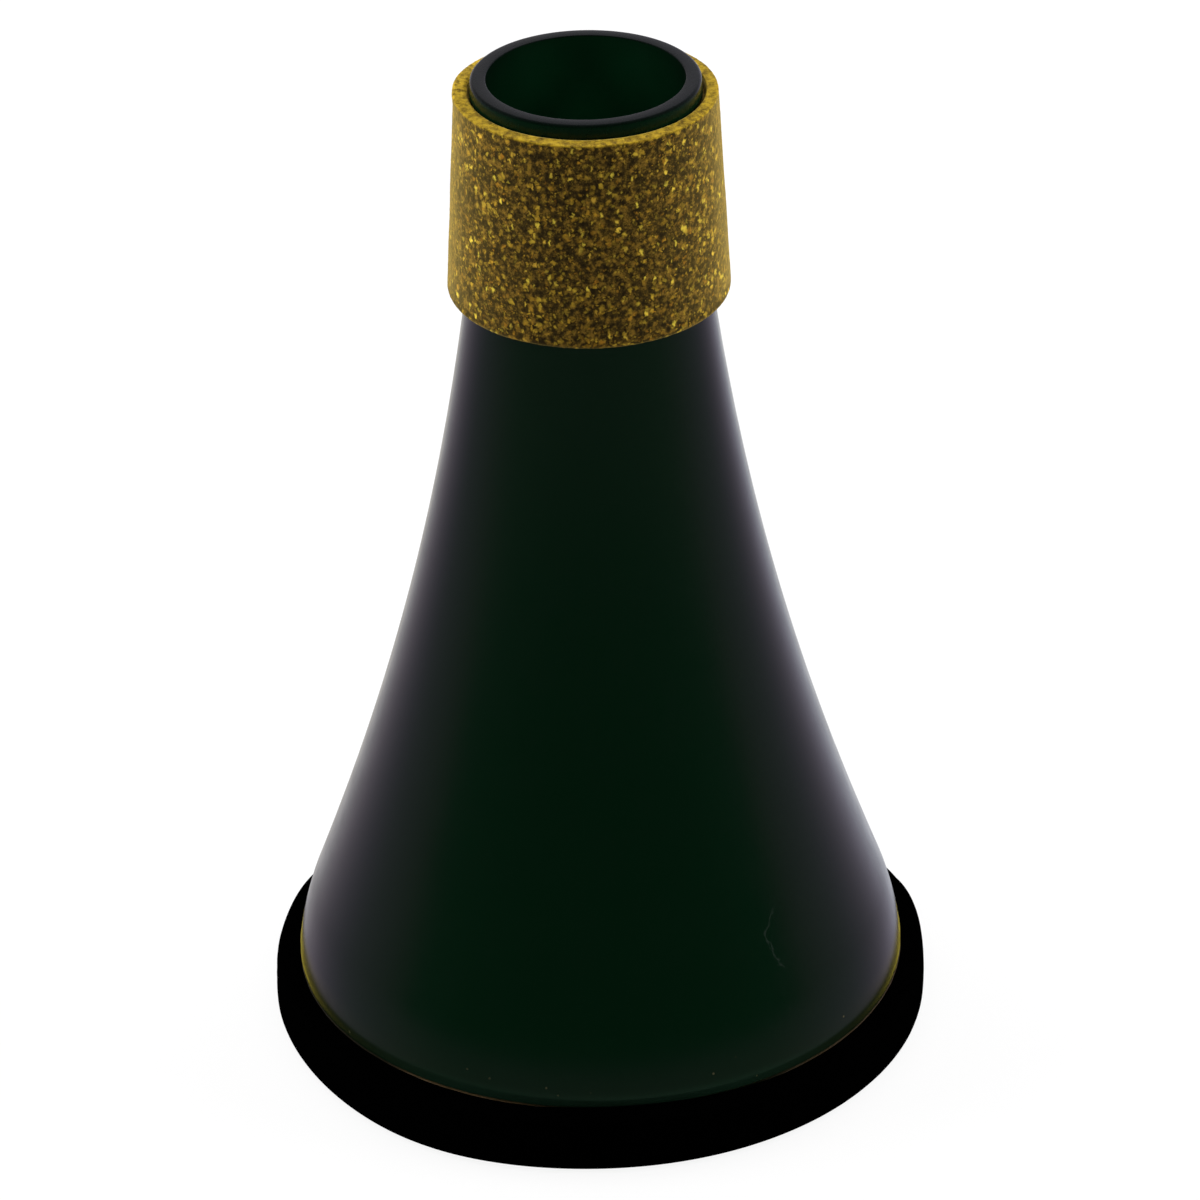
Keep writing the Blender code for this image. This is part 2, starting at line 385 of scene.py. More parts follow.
def millimetres(tree):
    """Object coordinates in millimetres."""
    place = node(tree, "ShaderNodeTexCoord").outputs["Object"]
    return vector_calc(tree, "SCALE", {0: place, "Scale": 1.0 / MM})


def stretched(tree, place, scale, turn=(0.0, 0.0, 0.0)):
    """Coordinates turned and then scaled, for grains that are longer one way."""
    return node(
        tree, "ShaderNodeMapping", {"Vector": place, "Scale": scale, "Rotation": turn}
    ).outputs[0]


def rough_noise(tree, place, scale, detail=3.0, roughness=0.55):
    """Noise from 0 to 1."""
    inputs = {"Vector": place, "Scale": scale, "Detail": detail, "Roughness": roughness}
    return node(tree, "ShaderNodeTexNoise", inputs).outputs["Fac"]


def cells(tree, place, scale, feature="F1"):
    """A Voronoi node in three dimensions."""
    inputs = {"Vector": place, "Scale": scale, "Randomness": 1.0}
    return node(tree, "ShaderNodeTexVoronoi", inputs, feature=feature)


def bump(tree, height, strength, distance):
    """A bump from a height between 0 and 1."""
    inputs = {"Height": height, "Strength": strength, "Distance": distance}
    return node(tree, "ShaderNodeBump", inputs).outputs[0]


def new_look(name):
    """A fresh material with its Principled shader, and its place in millimetres."""
    look = bpy.data.materials.new(name)
    look.use_nodes = True
    tree = look.node_tree
    return look, tree, tree.nodes["Principled BSDF"], millimetres(tree)


def finish_look(tree, shader, values):
    """Fill the shader's sockets."""
    for key, value in values.items():
        put(tree, shader.inputs[key], value)


# ---------------------------------------------------------------- Materials

def scratch(tree, place):
    """A faint hairline scratch above the foot: how strong it is at each place."""
    x, y, z = axes(tree, place)
    along = fit_range(tree, z, *SCRATCH_HEIGHTS)
    line = node(tree, "ShaderNodeFloatCurve", {"Value": along})
    curve_line = line.mapping.curves[0]
    for spot in SCRATCH_LINE[1:-1]:
        curve_line.points.new(*spot)
    curve_line.points[0].location = SCRATCH_LINE[0]
    curve_line.points[-1].location = SCRATCH_LINE[-1]
    line.mapping.update()
    angle = calc(tree, "ARCTAN2", x, calc(tree, "MULTIPLY", y, -1.0))
    middle = fit_range(tree, line.outputs[0], 0.0, 1.0, *SCRATCH_ANGLES)
    wander = fit_range(tree, rough_noise(tree, place, 1.1, 3.0, 0.7), 0.3, 0.7, -0.011, 0.011)
    off = calc(tree, "ADD", calc(tree, "SUBTRACT", angle, middle), wander)
    thin = fit_range(tree, calc(tree, "ABSOLUTE", off), 0.0060, 0.0015, 0.0, 1.0, True)
    begun = calc(tree, "GREATER_THAN", along, 0.01)
    going_on = calc(tree, "LESS_THAN", along, 0.99)
    patchy = fit_range(tree, rough_noise(tree, place, 1.2, 2.0), 0.35, 0.60, 0.35, 1.0)
    return product(tree, thin, begun, going_on, patchy)


def foot_dust(tree, place):
    """A few specks of dust low on the shell: how strong they are at each place."""
    specks = cells(tree, place, 0.75)
    chance = node(tree, "ShaderNodeSeparateColor", {0: specks.outputs["Color"]}).outputs
    rare = calc(tree, "GREATER_THAN", chance[0], 0.84)
    small = fit_range(tree, specks.outputs["Distance"], 0.14, 0.05)
    low = fit_range(tree, axes(tree, place)[2], 12.5, 9.2)
    strength = fit_range(tree, chance[1], 0.0, 1.0, 0.35, 1.0)
    return product(tree, rare, small, low, strength)


def shell_look():
    """Glossy black moulded plastic with a green cast, a lip painted paler towards the front as light
    near the foot, dust and one scratch.

    The lip's edge and the foot of the flare gleam amber where they are seen at a low angle.
    """
    look, tree, shader, place = new_look("shell_gloss")
    x, _, z = axes(tree, place)
    cloud = rough_noise(tree, place, 0.12)
    colour = blend_colours(tree, cloud, (0.0006, 0.0026, 0.0012, 1), (0.0010, 0.0034, 0.0016, 1))
    # Painted light: the lip is painted paler and greener towards the front, standing in for light that
    # falls near the foot.
    front = fit_range(tree, calc(tree, "ABSOLUTE", x), 14.0, 32.0, 1.0, 0.22, True)
    lip = product(tree, fit_range(tree, z, 9.4, 8.0, 0.0, 1.0, True), front)
    colour = blend_colours(tree, lip, colour, (0.0040, 0.0140, 0.0078, 1))
    dust = foot_dust(tree, place)
    colour = blend_colours(tree, dust, colour, (0.110, 0.085, 0.036, 1))
    colour = blend_colours(tree, scratch(tree, place), colour, (0.0110, 0.0140, 0.0120, 1))
    smear = fit_range(tree, rough_noise(tree, place, 0.3, 4.0), 0.3, 0.7, 0.20, 0.26)
    above = fit_range(tree, z, 7.25, 7.80, 0.0, 0.95, True)
    below = fit_range(tree, z, 12.0, 8.8, 0.0, 1.0, True)
    grain = rough_noise(tree, place, 5.0, 2.0)
    finish_look(tree, shader, {
        "Base Color": colour,
        "Roughness": calc(tree, "ADD", smear, product(tree, dust, 0.4)),
        "IOR": 1.5,
        "Sheen Weight": product(tree, above, below),
        "Sheen Roughness": 0.225,
        "Sheen Tint": (1.0, 0.80, 0.12, 1),
        "Normal": bump(tree, grain, 0.10, 0.01 * MM),
    })
    return look


def mouth_look():
    """The neck's bare end, whose gloss is rubbed dull by handling, with a greyer end face."""
    look, tree, shader, place = new_look("shell_mouth")
    rub = rough_noise(tree, place, 0.8, 4.0)
    grain = rough_noise(tree, place, 5.0, 2.0)
    mouth = MOUTH_Z / MM
    end = fit_range(tree, axes(tree, place)[2], mouth - 0.40, mouth - 0.15, 0.0, 1.0, True)
    wall = blend_colours(tree, rub, (0.0004, 0.0075, 0.0026, 1), (0.0008, 0.0095, 0.0034, 1))
    face = blend_colours(tree, rub, (0.0010, 0.0027, 0.0018, 1), (0.0016, 0.0036, 0.0024, 1))
    finish_look(tree, shader, {
        "Base Color": blend_colours(tree, end, wall, face),
        "Roughness": fit_range(tree, rub, 0.3, 0.7, 0.22, 0.32),
        "IOR": 1.5,
        "Specular IOR Level": 0.16,
        "Normal": bump(tree, grain, 0.15, 0.01 * MM),
    })
    return look


def shell_inside_look():
    """The same plastic as it leaves the mould inside, dull, with painted light: brighter and greener
    down in the neck and towards the back wall, dimmer towards the sides.
    """
    look, tree, shader, place = new_look("shell_inside_painted_light")
    x, y, z = axes(tree, place)
    mouth = MOUTH_Z / MM
    # Painted light: the colour grows brighter with depth and towards the back wall and dimmer towards
    # the sides, standing in for light that barely reaches inside.
    depth = fit_range(tree, z, mouth, mouth - 10.0, 0.0, 10.0)
    deeper = product(tree, calc(tree, "POWER", depth, 0.5), 0.6)
    aside = product(tree, calc(tree, "MINIMUM", product(tree, x, x), 130.0), 0.016)
    painted_depth_light = calc(tree, "EXPONENT", calc(tree, "SUBTRACT", deeper, aside))
    cloud = fit_range(tree, rough_noise(tree, place, 0.2), 0.3, 0.7, 0.0140, 0.0156)
    painted_rear_light = fit_range(tree, y, -8.0, 4.0, 0.35, 1.0)
    strength = product(tree, painted_depth_light, cloud, painted_rear_light)
    grain = rough_noise(tree, place, 4.0, 3.0)
    finish_look(tree, shader, {
        "Base Color": vector_calc(tree, "SCALE", {0: (0.07, 1.0, 0.34), "Scale": strength}),
        "Roughness": fit_range(tree, grain, 0.3, 0.7, 0.62, 0.75),
        "IOR": 1.5,
        "Specular IOR Level": 0.1,
        "Normal": bump(tree, grain, 0.25, 0.02 * MM),
    })
    return look


def blobs(tree, place, scale, share, outer=0.52, inner=0.16):
    """Soft round grains in a share of the cells: how strong each is, and a random number for it."""
    grains = cells(tree, place, scale)
    pick = node(tree, "ShaderNodeSeparateColor", {0: grains.outputs["Color"]})
    strength = fit_range(tree, pick.outputs[0], 1.0 - share, 1.0, 0.0, 1.0)
    strength = calc(tree, "POWER", strength, 0.7)
    core = fit_range(tree, grains.outputs["Distance"], outer, inner, 0.0, 1.0, True)
    return calc(tree, "MULTIPLY", strength, core), pick.outputs[1]


def cork_grain(tree, place, ground):
    """The granules' colour: soft grains of two sizes and bright flakes in a dark bark ground."""
    warp = node(tree, "ShaderNodeTexNoise", {"Vector": place, "Scale": 1.9, "Detail": 2.0})
    warp = vector_calc(tree, "SUBTRACT", {0: warp.outputs["Color"], 1: (0.5,) * 3})
    warp = vector_calc(tree, "SCALE", {0: warp, "Scale": 0.9})
    bent = vector_calc(tree, "ADD", {0: place, 1: warp})
    colour = ramp(tree, ground, CORK_GROUND)
    clump = fit_range(tree, rough_noise(tree, place, 0.62, 3.0, 0.6), 0.34, 0.64, 0.45, 1.25)
    for scale, share, level in CORK_GRAINS:
        mask, hue = blobs(tree, bent, scale, share)
        mask = product(tree, mask, clump, level)
        colour = blend_colours(tree, mask, colour, ramp(tree, hue, CORK_GRAIN_TONES))
    for turn, move in CORK_FLAKES:
        moved = vector_calc(tree, "ADD", {0: bent, 1: (move,) * 3})
        longer = stretched(tree, moved, (1.8, 0.8, 0.9), turn)
        mask, hue = blobs(tree, longer, 1.0, 0.12, 0.45, 0.10)
        colour = blend_colours(tree, mask, colour, ramp(tree, hue, CORK_FLAKE_TONES))
    return colour


def cork_look():
    """Agglomerated cork: ochre and yellow granules, a cut face painted paler, in part as painted light
    from above, and a soft haze aside.
    """
    look, tree, shader, place = new_look("cork_granules")
    height = axes(tree, place)[2]
    low, high = CORK_BOTTOM_Z / MM, CORK_TOP_Z / MM
    ground = rough_noise(tree, place, 1.3, 5.0, 0.70)
    top = fit_range(tree, height, high - 0.30, high - 0.08)
    colour = cork_grain(tree, place, ground)
    # The top face turns to the paler cut ramp: cut cork, and in part painted light from above.
    colour = blend_colours(tree, product(tree, top, 0.78), colour, ramp(tree, ground, CORK_CUT_AND_TOP_LIGHT))
    haze = fit_range(tree, height, low, low + 2.0, 0.20, 0.66)
    pores = rough_noise(tree, place, 5.0, 4.0, 0.7)
    relief = calc(tree, "ADD", product(tree, ground, 0.6), product(tree, pores, 0.4))
    finish_look(tree, shader, {
        "Base Color": colour,
        "Roughness": fit_range(tree, pores, 0.3, 0.7, 0.75, 0.95),
        "IOR": 1.45,
        "Specular IOR Level": 0.03,
        "Sheen Weight": calc(tree, "SUBTRACT", haze, product(tree, top, 0.28)),
        "Sheen Roughness": 0.40,
        "Sheen Tint": (1.0, 0.74, 0.21, 1),
        "Normal": bump(tree, relief, 0.45, 0.06 * MM),
    })
    return look


def foam_look(name, dark, light, cell):
    """Black cell foam: pores of the given number per millimetre, scuffed grey where it stands."""
    look, tree, shader, place = new_look(name)
    pores = cells(tree, place, cell, "DISTANCE_TO_EDGE").outputs["Distance"]
    wall = fit_range(tree, pores, 0.0, 0.25, 1.0, 0.0, True)
    share = product(tree, wall, rough_noise(tree, place, 0.5, 3.0))
    colour = blend_colours(tree, share, (*dark, 1), (*light, 1))
    scuff = blend_colours(tree, share, (0.012, 0.012, 0.012, 1), (0.040, 0.039, 0.037, 1))
    underside = fit_range(tree, axes(tree, place)[2], 0.10, 0.02)
    finish_look(tree, shader, {
        "Base Color": blend_colours(tree, underside, colour, scuff),
        "Roughness": 0.95,
        "Specular IOR Level": 0.0,
        "Normal": bump(tree, wall, 0.5, 0.05 * MM),
    })
    return look


def film_look():
    """The cut edge of the adhesive film: brown towards both sides, fainter at the right, and black
    between them at the front.
    """
    look, tree, shader, place = new_look("film_edge")
    across = axes(tree, place)[0]
    streak = rough_noise(tree, stretched(tree, place, (0.6, 0.6, 3.0)), 1.0, 4.0)
    # Brown towards the left and, fainter, towards the right; black at the front between them.
    left = fit_range(tree, across, -1.0, -14.0, 0.0, 1.0, True)
    left = product(tree, left, fit_range(tree, across, -27.0, -21.0, 0.1, 1.0, True))
    right = fit_range(tree, across, 16.0, 27.0, 0.0, 0.5, True)
    bare = calc(tree, "ADD", left, right)
    brown = blend_colours(tree, streak, (0.030, 0.018, 0.007, 1), (0.090, 0.052, 0.020, 1))
    finish_look(tree, shader, {
        "Base Color": blend_colours(tree, bare, (0.0015, 0.0020, 0.0010, 1), brown),
        "Roughness": fit_range(tree, streak, 0.3, 0.7, 0.45, 0.65),
        "IOR": 1.48,
        "Normal": bump(tree, streak, 0.3, 0.02 * MM),
    })
    return look


def moulded_look(name, dark, light, roughness):
    """Plain black moulded plastic for the pieces inside, with fine grain."""
    look, tree, shader, place = new_look(name)
    cloud = rough_noise(tree, place, 0.25, 3.0)
    grain = rough_noise(tree, place, 4.0, 3.0)
    finish_look(tree, shader, {
        "Base Color": blend_colours(tree, cloud, (*dark, 1), (*light, 1)),
        "Roughness": fit_range(tree, grain, 0.3, 0.7, roughness - 0.05, roughness + 0.08),
        "IOR": 1.5,
        "Normal": bump(tree, grain, 0.2, 0.02 * MM),
    })
    return look


# ---------------------------------------------------------------- Pieces

def build_shell():
    """The hollow body: gloss outside, dull inside, with a rebated foot and a rounded mouth."""
    outside = shell_outside()
    inside = shell_hollow(outside)
    ledge_z = FOOT_Z + LEDGE_ABOVE_FOOT
    hollow_z = ledge_z + HOLLOW_ABOVE_LEDGE
    rebate = FOOT_RADIUS - LIP_WALL
    bore = inside[-1][0]
    outer_r, inner_r = MOUTH_OUTER_ROUND, MOUTH_INNER_ROUND
    lip = [
        (rebate, ledge_z),
        (rebate, FOOT_Z),
        (FOOT_RADIUS - FOOT_CHAMFER, FOOT_Z),
        (FOOT_RADIUS, FOOT_Z + FOOT_CHAMFER),
    ]
    lip += straight(lip.pop(), outside[0], 4)
    rim = arc((MOUTH_RADIUS - outer_r, MOUTH_Z - outer_r), outer_r, 0.0, pi / 2.0)
    rim += arc((bore + inner_r, MOUTH_Z - inner_r), inner_r, pi / 2.0, pi)
    hollow = [point for point in reversed(inside[:-1]) if point[1] > hollow_z]
    hollow.append((radius_at(inside, ledge_z), ledge_z))
    outline = lip + outside[:-1] + rim + hollow
    looks = [shell_look(), shell_inside_look(), mouth_look()]
    rubbed_from = CORK_TOP_Z - RUBBED_BELOW_CORK_TOP
    band = np.array([2 if height > rubbed_from else 0 for radius, height in outline])
    first_inside = len(lip) + len(outside) - 1 + len(rim) - 2
    band[first_inside:] = 1
    shell = make_piece("shell", revolve(outline, SHELL_STEPS), looks, band, SHARP_ANGLE)
    return dress(shell, "body_shell")


def hump(angle, size, middle, spread):
    """A smooth hump of the given size round an angle."""
    off = (angle - middle + pi) % (2.0 * pi) - pi
    return size * np.exp(-(off / spread) ** 2 / 2.0)


def cork_relief(point):
    """How far the sanded cork stands in or out at a point, in metres."""
    place = Vector(point) / MM
    grain = noise.noise(place * 1.9) * 0.5 + noise.noise(place * 4.1 + Vector((9, 3, 5))) * 0.35
    swell = noise.noise(place * 0.22 + Vector((4, 8, 1)))
    return (grain * 0.045 + swell * 0.05) * MM


def cork_burr(angle, height):
    """The small burr that stands out at one side of the sleeve's top edge."""
    share = (height - (CORK_TOP_Z - CORK_BURR_HEIGHT)) / CORK_BURR_HEIGHT
    rise = min(1.0, max(0.0, share * 2.0))
    return hump(angle, *CORK_BURR) * rise


def groove_reach(angle, height):
    """How far the worn groove between cork and neck reaches out at an angle and height."""
    share = min(1.0, max(0.0, (height - (CORK_TOP_Z - GROOVE_DEPTH)) / GROOVE_DEPTH * 3.0))
    slant = max(0.0, cos(angle - GROOVE_SLANT_ANGLE)) ** 1.5
    return (GROOVE_WIDTH + GROOVE_SLANT * slant) * share


def cork_outline(neck):
    """The sleeve's closed outline: outside, cut top, then down its bore along the neck."""
    bottom_r = CORK_BOTTOM_RADIUS
    top_r = radius_at(neck, CORK_TOP_Z) + CORK_TOP_THICKNESS
    low_round, top_round = CORK_BOTTOM_ROUND, CORK_TOP_ROUND
    bore = [
        (radius_at(neck, height) + CORK_GAP, height)
        for height in (CORK_BOTTOM_Z, CORK_TOP_Z, CORK_TOP_Z - GROOVE_DEPTH)
    ]
    outline = straight(bore[0], (bottom_r - low_round, CORK_BOTTOM_Z), 5)
    outline += arc((bottom_r - low_round, CORK_BOTTOM_Z + low_round), low_round, -pi / 2, 0.0)[:-1]
    outline += straight(
        (bottom_r, CORK_BOTTOM_Z + low_round), (top_r, CORK_TOP_Z - top_round), 96
    )
    outline += arc((top_r - top_round, CORK_TOP_Z - top_round), top_round, 0.0, pi / 2, 4)[:-1]
    outline += straight((top_r - top_round, CORK_TOP_Z), bore[1], 8)
    outline += straight(bore[1], bore[2], 6) + straight(bore[2], bore[0], 4)
    return outline


def open_groove(points, outline, neck):
    """Move the cork's bore out near its top, and less so towards its outside."""
    top_r = radius_at(neck, CORK_TOP_Z) + CORK_TOP_THICKNESS
    for ring, (radius, height) in zip(points, outline):
        neck_r = radius_at(neck, height)
        share = max(0.0, 1.0 - (radius - neck_r) / (top_r - neck_r))
        for point in ring:
            angle = atan2(point[1], point[0])
            point[:2] *= 1.0 + groove_reach(angle, height) * share / radius


def roughen_cork(points, outline, neck):
    """Move the cork's outside square to itself by its granules and its burr."""
    for i, (radius, height) in enumerate(outline):
        if radius <= radius_at(neck, height) + CORK_BORE_SKIN:
            continue
        before, after = outline[i - 1], outline[(i + 1) % len(outline)]
        run = Vector((after[1] - before[1], before[0] - after[0])).normalized()
        for point in points[i]:
            angle = atan2(point[1], point[0])
            shift = cork_relief(point) - CORK_SANDED_OFF + cork_burr(angle, height)
            point += np.array((run.x * cos(angle), run.x * sin(angle), run.y)) * shift


def build_cork():
    """The cork sleeve, its outside relieved by granules and its edges softened."""
    neck = shell_outside()
    outline = cork_outline(neck)
    points = revolve(outline, CORK_STEPS)
    open_groove(points, outline, neck)
    roughen_cork(points, outline, neck)
    return dress(make_piece("cork", points, [cork_look()]), "cork_sleeve")


def pad_swell(angle, radius):
    """How far the pressed foam has swelled up round the front of the foot."""
    beside = min(1.0, max(0.0, (radius - FOOT_RADIUS - SWELL_FROM_FOOT) / SWELL_RISE))
    fall = min(1.0, max(0.0, (PAD_RADIUS - SWELL_FROM_EDGE - radius) / SWELL_FALL))
    return hump(angle, *PAD_SWELL) * beside * fall


def pad_outline():
    """The pad's closed outline: vent, underside, barrelled wall, and top up to the vent."""
    top, vent, bevel = PAD_VISIBLE_TOP, PAD_VENT_RADIUS, PAD_VENT_CHAMFER
    outline = [(vent + bevel, top), (vent, top - bevel), (vent, bevel), (vent + bevel, 0.0)]
    low_edge = PAD_RADIUS - PAD_LOW_LEAN - PAD_LOW_ROUND
    outline += straight((PAD_TRUE_RADIUS, 0.0), (low_edge, 0.0), 8)
    outline += arc((low_edge, PAD_LOW_ROUND), PAD_LOW_ROUND, -pi / 2, 0.0, 8)[:-1]
    low, high = PAD_LOW_ROUND, top - PAD_HIGH_ROUND
    for i in range(7):
        share = i / 6.0
        lean = PAD_LOW_LEAN + (PAD_HIGH_LEAN - PAD_LOW_LEAN) * share ** 2
        barrel = PAD_LOW_LEAN * 4.0 * share * (1.0 - share)
        outline.append((PAD_RADIUS - lean + barrel, low + (high - low) * share))
    high_edge = PAD_RADIUS - PAD_HIGH_LEAN - PAD_HIGH_ROUND
    outline += arc((high_edge, high), PAD_HIGH_ROUND, 0.0, pi / 2, 8)[1:]
    beside = FOOT_RADIUS + SWELL_FROM_FOOT
    swelled = beside + SWELL_RISE
    outline += straight((high_edge - PAD_TOP_BAND, top), (swelled, top), 6)
    outline += [(swelled, top), (beside, top)]
    outline += straight((FOOT_RADIUS - PAD_RING_STEP, top), (PAD_TRUE_RADIUS, top), 16)
    return outline


def build_pad():
    """The hand-cut foam disc: uneven at its edge, swelled and dropped beside the foot."""
    outline = pad_outline()
    points = revolve(outline, PAD_STEPS)
    top = PAD_VISIBLE_TOP
    for ring, (radius, height) in zip(points, outline):
        if height < PAD_FLAT_BELOW or radius < PAD_TRUE_RADIUS + PAD_RING_STEP:
            continue
        for point in ring:
            place = Vector(point) / MM
            angle = atan2(point[1], point[0])
            dent = (noise.noise(place * 0.12) * 0.05 + noise.noise(place * 1.1) * 0.012) * MM
            dent = min(dent, 0.0)
            if height > top - PAD_HIGH_ROUND - NEAR and radius > FOOT_RADIUS:
                point[2] -= PAD_TILT * (1.0 + sin(angle)) / 2.0 + hump(angle, *PAD_DROP)
            if height > top - PAD_TOP_BAND:
                point[2] += dent + pad_swell(angle, radius)
            reach = dent + sum(hump(angle, *each) for each in PAD_REACHES)
            point[:2] *= 1.0 + reach * (radius / PAD_RADIUS) ** 8 / radius
    points[:, :, :2] = np.clip(points[:, :, :2], -PAD_RADIUS, PAD_RADIUS)
    look = foam_look("pad_foam_look", (0.0001, 0.0001, 0.0001), (0.0004, 0.0004, 0.0004), 4.0)
    pad = dress(make_piece("foam_pad", points, [look]), "base_pad")
    return pad


def build_film():
    """The adhesive film, whose cut edge stands a hair proud of the foot."""
    low, high = PAD_VISIBLE_TOP, FOOT_Z
    inner = PAD_VENT_RADIUS + FILM_VENT_MARGIN
    outer = FOOT_RADIUS + FILM_PROUD
    edge = outer - FILM_EDGE_ROUND
    outline = [(inner, low), (edge, low), (outer, (low + high) / 2), (edge, high), (inner, high)]
    points = revolve(outline, PAD_STEPS)
    for ring in points[1:4]:
        for point in ring:
            point[:2] *= 1.0 + noise.noise(Vector(point) / MM * 0.35) * FILM_WAVER / outer
    film = make_piece("adhesive_film", points, [film_look()])
    return dress(film, "pad_film")


def build_tube():
    """The air tube in the plate's socket, both ends chamfered."""
    low, high, chamfer = TUBE_LOW.z, TUBE_HIGH.z, TUBE_CHAMFER
    bore = TUBE_BORE_RADIUS
    outline = straight((TUBE_RADIUS, low + chamfer), (TUBE_RADIUS, high - chamfer), 12)
    outline += [(TUBE_RADIUS, high - chamfer), (TUBE_RADIUS - chamfer, high)]
    outline += [(bore + chamfer / 2, high), (bore, high - chamfer / 2)]
    outline += [(bore, low), (TUBE_RADIUS - chamfer, low)]
    look = moulded_look("tube_moulded", (0.004, 0.0045, 0.0045), (0.008, 0.0085, 0.0085), 0.35)
    tube = make_piece("air_tube", revolve(outline, TUBE_STEPS), [look], sharp=SHARP_ANGLE)
    return dress(tube, "vent_tube")


def build_ring():
    """The damping ring of open foam, rounded by its cutting and uneven on top."""
    low, high, corner = RING_LOW.z, RING_HIGH.z, RING_ROUND
    outline = arc((RING_BORE + corner, high - corner), corner, pi, pi / 2)
    outline += straight(
        (RING_BORE + 2 * corner, high), (RING_RADIUS - corner, high), 26
    )
    outline += arc((RING_RADIUS - corner, high - corner), corner, pi / 2, 0.0)
    outline += arc((RING_RADIUS - corner, low + corner), corner, 0.0, -pi / 2)
    outline += straight((RING_RADIUS - 2 * corner, low), (RING_BORE + corner, low), 8)
    outline += arc((RING_BORE + corner, low + corner), corner, -pi / 2, -pi)
    points = revolve(outline, RING_STEPS)
    for ring, (radius, height) in zip(points, outline):
        if height < high - NEAR:
            continue
        for point in ring:
            place = Vector(point) / MM
            dip = noise.noise(place * 0.25) * 0.22 + noise.noise(place * 1.3) * 0.10
            point[2] += (dip - 0.32) * MM
    look = foam_look("damping_foam_look", (0.006, 0.006, 0.0065), (0.030, 0.030, 0.032), 2.2)
    foam = dress(make_piece("damping_foam", points, [look]), "damping_ring")
    return foam


def dress_plate():
    """The CAD plate keeps its shape and gets its own moulded plastic."""
    look = moulded_look("plate_moulded", (0.0028, 0.0040, 0.0032), (0.0055, 0.0070, 0.0058), 0.42)
    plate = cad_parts["base_plate"]
    plate.data.materials.clear()
    plate.data.materials.append(look)


# ---------------------------------------------------------------- Studio

# Light that the gloss mirrors, from the camera's side (0) to behind the mute (1): what stands
# above the table, which is a dim green room by the camera, and the table itself
SCRIM_ABOVE = [
    (0.000, (0.003, 0.130, 0.040)),
    (0.300, (0.003, 0.130, 0.040)),
    (0.360, (0.012, 0.126, 0.046)),
    (0.402, (0.060, 0.140, 0.079)),
    (0.456, (0.116, 0.160, 0.133)),
    (0.543, (0.155, 0.180, 0.180)),
    (0.630, (0.185, 0.190, 0.215)),
    (0.705, (0.235, 0.215, 0.280)),
    (0.830, (0.405, 0.350, 0.450)),
    (0.920, (0.660, 0.600, 0.720)),
    (1.000, (0.900, 0.850, 0.950)),
]
SCRIM_BELOW = [
    (0.000, (0.085, 0.180, 0.110)),
    (0.257, (0.085, 0.180, 0.110)),
    (0.375, (0.115, 0.183, 0.138)),
    (0.458, (0.140, 0.188, 0.165)),
    (0.542, (0.165, 0.195, 0.200)),
    (0.625, (0.185, 0.200, 0.220)),
    (0.705, (0.235, 0.215, 0.280)),
    (0.770, (0.305, 0.265, 0.345)),
    (0.830, (0.405, 0.350, 0.450)),
    (0.880, (0.570, 0.520, 0.630)),
    (0.907, (0.700, 0.690, 0.770)),
    (0.924, (0.830, 0.830, 0.900)),
    (0.933, (1.000, 1.000, 1.000)),
]
LEFT_TINT = (0.94, 0.91, 0.87)
RIGHT_TINT = (1.06, 1.08, 1.12)
SCRIM_RADIUS = 3.0
SCRIM_OVERHEAD = 0.58

# The floor's grey as it lights the mute and as the camera sees it, and how much it glows there
FLOOR_BOUNCE = 0.45
FLOOR_SEEN = 0.80
FLOOR_GLOW = 0.88
FLOOR_SIZE = 30.0
FLOOR_BELOW = 0.02 * MM

AMBIENT = 0.10

# Each lamp: name, direction it comes from, light that it gives a surface square to it, softness
LAMPS = [
    ("front_lamp", (0.0, -1.0, 0.55), 0.06, 40.0),
    ("top_lamp", (0.0, 0.35, 1.0), 0.70, 70.0),
    ("left_lamp", (-1.0, 0.15, 0.25), 1.38, 60.0),
    ("right_lamp", (1.0, 0.15, 0.25), 1.36, 60.0),
    ("back_left_lamp", (-0.75, 0.75, 0.25), 0.54, 50.0),
    ("back_right_lamp", (0.75, 0.75, 0.25), 0.40, 50.0),
]


def build_camera():
    """The camera at the photograph's place and angle."""
    yaw, pitch, roll = CAMERA_YAW, CAMERA_PITCH, CAMERA_ROLL
    forward = Vector((sin(yaw) * cos(pitch), cos(yaw) * cos(pitch), -sin(pitch)))
    level = Vector((cos(yaw), -sin(yaw), 0.0))
    upright = level.cross(forward)
    right = cos(roll) * level + sin(roll) * upright
    up = -sin(roll) * level + cos(roll) * upright
    data = bpy.data.cameras.new("camera")
    data.lens = CAMERA_LENS
    data.sensor_width = CAMERA_SENSOR
    camera = bpy.data.objects.new("camera", data)
    turn = Matrix((right, up, -forward)).transposed().to_4x4()
    camera.matrix_world = Matrix.Translation(CAMERA_PLACE) @ turn
    bpy.context.scene.collection.objects.link(camera)
    bpy.context.scene.camera = camera


def stage_look(name):
    """A fresh material without a shader, for what stands round the mute."""
    look = bpy.data.materials.new(name)
    look.use_nodes = True
    look.node_tree.nodes.clear()
    return look, look.node_tree


def stage_piece(name, shape, look):
    """An object from a finished bmesh, in its look. It isn't part of the mute."""
    mesh = bpy.data.meshes.new(name)
    shape.to_mesh(mesh)
    shape.free()
    mesh.materials.append(look)
    piece = bpy.data.objects.new(name, mesh)
    bpy.context.scene.collection.objects.link(piece)
    return piece


